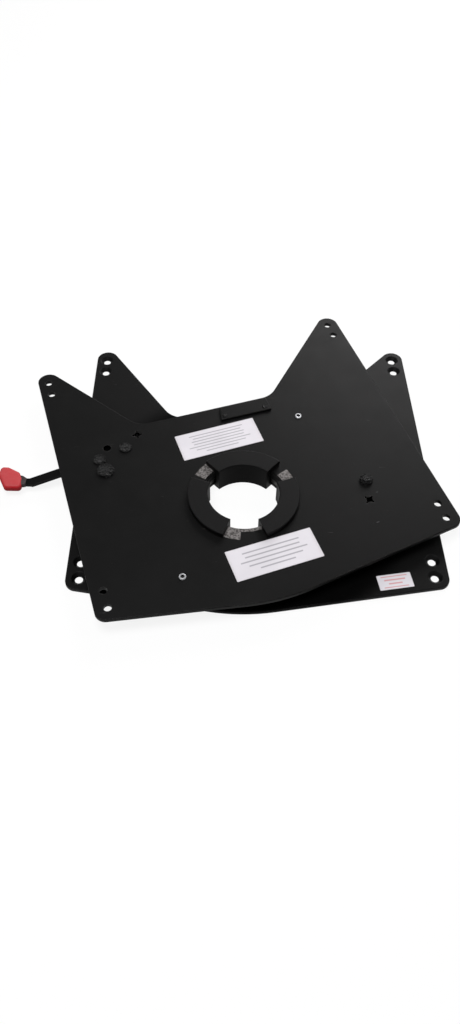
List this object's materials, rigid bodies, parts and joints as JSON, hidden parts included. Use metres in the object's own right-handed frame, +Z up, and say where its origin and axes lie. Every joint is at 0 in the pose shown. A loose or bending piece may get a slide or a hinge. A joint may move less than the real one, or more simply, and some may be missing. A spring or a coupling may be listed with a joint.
{
  "type": "swivel seat base",
  "caption": "Flat black steel swivel base for a vehicle seat: an eared upper plate turns over a like lower plate on a slotted hub, with a red-knobbed release lever between them.",
  "frame": {"origin": "on the swivel axis at the underside of the lower plate", "axes": "+Z up along the swivel axis, +X along the straight edge between the lower plate's ears, +Y towards the ears"},
  "size_m": [0.5345, 0.4823, 0.032],
  "materials": {
    "plate_paint": "black powder coat, light sheen",
    "hub_paint": "black powder coat, light sheen",
    "lock_steel": "black coated steel",
    "nylon": "black sliding plastic",
    "black_fastener": "black coated fastener",
    "zinc": "bright zinc plated",
    "spring_steel": "bare spring wire",
    "label_film": "blank white label film",
    "lever_paint": "black painted bar",
    "latch_steel": "ground steel pin",
    "knob_red": "red dipped plastic, soft gloss"
  },
  "bodies": {
    "base": {"lower_plate": "plate_paint", "rear_hub_segment": "hub_paint", "left_hub_segment": "hub_paint", "right_hub_segment": "hub_paint", "flange_glides": "nylon", "lock_disc": "lock_steel", "lock_disc_rivets": "lock_steel", "spacer_ring": "lock_steel", "lower_sticker": "label_film"},
    "turntable": {"upper_plate": "plate_paint", "waist_strip": "plate_paint", "flanged_bush": "nylon", "glide_block": "nylon", "adjuster_pads": "nylon", "pivot_bolt": "black_fastener", "stop_bolt": "black_fastener", "spring_post": "black_fastener", "glide_bolt": "black_fastener", "waist_strip_rivets": "black_fastener", "adjuster_nuts": "black_fastener", "pivot_washer": "zinc", "pivot_sleeve": "zinc", "pivot_retainer": "zinc", "pivot_nut": "zinc", "stop_nut": "zinc", "glide_nut": "zinc", "adjuster_screws": "zinc", "return_spring": "spring_steel", "rear_label": "label_film", "front_label": "label_film"},
    "lever": {"lever_arm": "lever_paint", "latch_pin": "latch_steel", "lever_knob": "knob_red"}
  },
  "joints": [
    {"name": "swivel", "type": "hinge", "parent": "base", "child": "turntable", "pos_m": [0, 0, 0], "axis": [0, 0, 1], "continuous": true},
    {"name": "lever", "type": "hinge", "parent": "turntable", "child": "lever", "pos_m": [-0.16187, 0.03835, 0.0167], "axis": [0, 0, 1], "range_deg": [0, 6], "stiffness_Nm_per_rad": 0.2, "springref_deg": -57.3, "deforming": ["return_spring"]}
  ]
}
